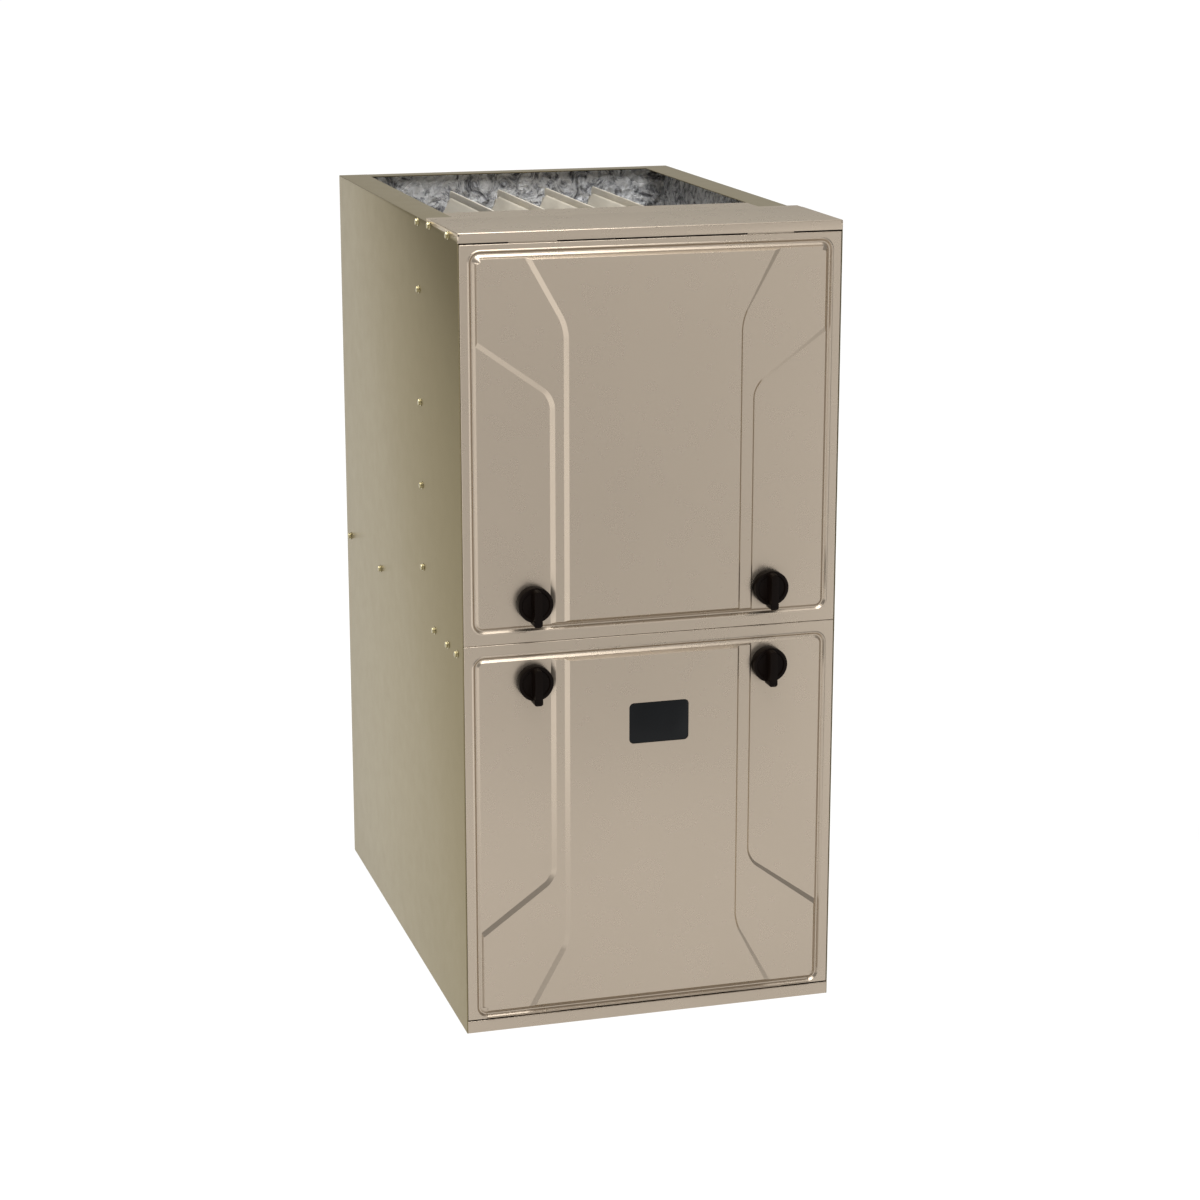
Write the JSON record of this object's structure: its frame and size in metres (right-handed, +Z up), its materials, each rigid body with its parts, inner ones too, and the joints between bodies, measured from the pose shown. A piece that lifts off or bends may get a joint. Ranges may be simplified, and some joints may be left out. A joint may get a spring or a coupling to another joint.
{
  "type": "forced air gas furnace",
  "caption": "Tall upflow gas furnace cabinet with an open supply outlet, stamped double doors, turn knobs, a sight window, serpentine heat cells, a burner train and a scroll blower.",
  "frame": {"origin": "middle of the base of the bounding box, on the floor under the cabinet", "axes": "+Z up; -Y out of the doors, the front; +X to the right of someone who faces the front"},
  "size_m": [0.486, 0.75, 1.016],
  "materials": {
    "casing_paint": "satin powder coat",
    "galvanized_steel": "galvanized, fine spangle",
    "aluminized_steel": "aluminized, dull",
    "foil_insulation": "crinkled aluminium foil over glass wool",
    "black_plastic": "moulded, fine grain",
    "knob_plastic": "moulded, semi gloss",
    "window_plastic": "smoked, glossy",
    "black_rubber": "smooth",
    "motor_paint": "black enamel",
    "manifold_paint": "black enamel with brass spuds",
    "valve_casting": "die cast",
    "capacitor_can": "drawn can",
    "red_plastic": "moulded",
    "white_plastic": "moulded",
    "board_laminate": "circuit laminate with moulded parts",
    "transformer_steel": "varnished laminations",
    "ceramic": "unglazed ceramic",
    "zinc_steel": "zinc plated"
  },
  "bodies": {
    "cabinet": {"left_side_panel": "casing_paint", "right_side_panel": "casing_paint", "back_panel": "casing_paint", "top_front_plate": "casing_paint", "base_rail": "casing_paint", "centre_rail": "galvanized_steel", "blower_deck": "galvanized_steel", "vest_panel": "galvanized_steel", "foil_liner_sides": "foil_insulation", "foil_liner_rear": "foil_insulation", "heat_cell_1": "aluminized_steel", "heat_cell_2": "aluminized_steel", "heat_cell_3": "aluminized_steel", "heat_cell_4": "aluminized_steel", "hot_collector_box": "aluminized_steel", "condensing_coil": "galvanized_steel", "cold_collector_box": "black_plastic", "inducer_housing": "galvanized_steel", "inducer_motor": "motor_paint", "vent_coupling": "black_plastic", "burner_box": "galvanized_steel", "burners": "aluminized_steel", "gas_manifold": "manifold_paint", "gas_valve": "valve_casting", "gas_grommet": "black_rubber", "air_intake_coupling": "black_plastic", "flame_probes": "ceramic", "rollout_switches": "black_plastic", "limit_switch": "black_plastic", "pressure_switch": "motor_paint", "pressure_tube": "black_rubber", "condensate_trap": "black_plastic", "blower_wrap": "galvanized_steel", "blower_side_left": "galvanized_steel", "blower_side_right": "galvanized_steel", "blower_motor": "motor_paint", "blower_motor_mount": "galvanized_steel", "blower_capacitor": "capacitor_can", "control_bracket": "galvanized_steel", "control_board": "board_laminate", "transformer": "transformer_steel", "door_switch": "black_plastic"},
    "upper_door": {"upper_door": "casing_paint"},
    "lower_door": {"lower_door": "casing_paint", "lower_door_liner": "foil_insulation", "sight_window": "window_plastic"},
    "upper_left_latch": {"knob_upper_left": "knob_plastic", "latch_upper_left": "zinc_steel"},
    "upper_right_latch": {"knob_upper_right": "knob_plastic", "latch_upper_right": "zinc_steel"},
    "lower_left_latch": {"knob_lower_left": "knob_plastic", "latch_lower_left": "zinc_steel"},
    "lower_right_latch": {"knob_lower_right": "knob_plastic", "latch_lower_right": "zinc_steel"},
    "blower_wheel": {"blower_wheel": "galvanized_steel"},
    "inducer_wheel": {"inducer_wheel": "galvanized_steel"},
    "gas_valve_switch": {"gas_valve_switch": "red_plastic"},
    "rollout_reset_left": {"rollout_reset_left": "red_plastic"},
    "rollout_reset_right": {"rollout_reset_right": "red_plastic"},
    "door_switch_plunger": {"door_switch_plunger": "white_plastic"}
  },
  "joints": [
    {"name": "upper_door_tilt", "type": "hinge", "parent": "cabinet", "child": "upper_door", "pos_m": [0, -0.346, 1.003], "axis": [-1, 0, 0], "range_deg": [0, 30]},
    {"name": "lower_door_tilt", "type": "hinge", "parent": "cabinet", "child": "lower_door", "pos_m": [0, -0.346, 0.017], "axis": [1, 0, 0], "range_deg": [0, 30]},
    {"name": "upper_left_knob_turn", "type": "hinge", "parent": "upper_door", "child": "upper_left_latch", "pos_m": [-0.153, -0.349, 0.559], "axis": [0, 1, 0], "range_deg": [0, 90]},
    {"name": "upper_right_knob_turn", "type": "hinge", "parent": "upper_door", "child": "upper_right_latch", "pos_m": [0.153, -0.349, 0.559], "axis": [0, 1, 0], "range_deg": [0, 90]},
    {"name": "lower_left_knob_turn", "type": "hinge", "parent": "lower_door", "child": "lower_left_latch", "pos_m": [-0.153, -0.349, 0.459], "axis": [0, 1, 0], "range_deg": [0, 90]},
    {"name": "lower_right_knob_turn", "type": "hinge", "parent": "lower_door", "child": "lower_right_latch", "pos_m": [0.153, -0.349, 0.459], "axis": [0, 1, 0], "range_deg": [0, 90]},
    {"name": "blower_wheel_spin", "type": "hinge", "parent": "cabinet", "child": "blower_wheel", "pos_m": [0, 0.051, 0.238], "axis": [1, 0, 0], "continuous": true},
    {"name": "inducer_wheel_spin", "type": "hinge", "parent": "cabinet", "child": "inducer_wheel", "pos_m": [0, -0.2, 0.5932], "axis": [0, 1, 0], "continuous": true},
    {"name": "gas_valve_switch_rock", "type": "hinge", "parent": "cabinet", "child": "gas_valve_switch", "pos_m": [0.168, -0.293, 0.942], "axis": [1, 0, 0], "range_deg": [0, 28]},
    {"name": "rollout_reset_left_press", "type": "slide", "parent": "cabinet", "child": "rollout_reset_left", "axis": [0, 0, -1], "range_m": [0, 0.002], "stiffness_N_per_m": 400},
    {"name": "rollout_reset_right_press", "type": "slide", "parent": "cabinet", "child": "rollout_reset_right", "axis": [0, 0, -1], "range_m": [0, 0.002], "stiffness_N_per_m": 400},
    {"name": "door_switch_plunger_travel", "type": "slide", "parent": "cabinet", "child": "door_switch_plunger", "axis": [0, -1, 0], "range_m": [0, 0.006]}
  ],
  "couplings": [
    {"joint": "door_switch_plunger_travel", "follows": "lower_door_tilt", "m_per_rad": 0.0114}
  ]
}
